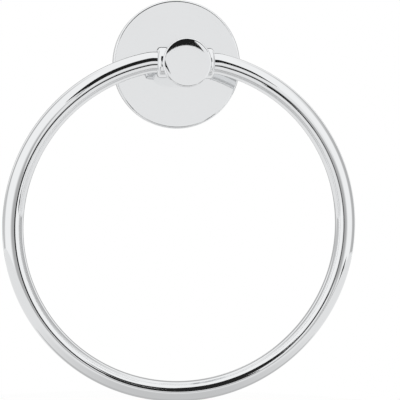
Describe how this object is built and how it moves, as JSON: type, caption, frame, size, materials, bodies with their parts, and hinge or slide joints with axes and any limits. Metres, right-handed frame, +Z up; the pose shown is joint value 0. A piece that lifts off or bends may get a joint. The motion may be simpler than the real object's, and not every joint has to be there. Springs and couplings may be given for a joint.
{
  "type": "wall towel ring",
  "caption": "Chrome towel ring: a round rod ring swings in a cross sleeve on a straight round post, which stands on a round back plate hooked over a hidden wall bracket.",
  "frame": {"origin": "middle of the back plate, on the wall", "axes": "+Z up, +Y into the wall, so the part stands out from the wall towards -Y, and +X along the swing axis to the right as seen from the front"},
  "size_m": [0.165, 0.0485, 0.1899],
  "materials": {
    "polished_chrome": "mirror polished chrome plate on brass",
    "zinc_plate": "dull zinc plate on steel",
    "screw_steel": "plain stainless steel, machined"
  },
  "bodies": {
    "wall_mount": {"back_plate": "polished_chrome", "post": "polished_chrome", "ring_sleeve": "polished_chrome", "wall_bracket": "zinc_plate", "lock_screw": "screw_steel", "post_screw": "screw_steel", "spring_washer": "screw_steel", "locating_pin": "screw_steel"},
    "ring": {"towel_ring": "polished_chrome"}
  },
  "joints": [
    {"name": "ring_swing", "type": "hinge", "parent": "wall_mount", "child": "ring", "pos_m": [0, -0.039, 0], "axis": [-1, 0, 0], "range_deg": [-12.5, 192.5]}
  ]
}
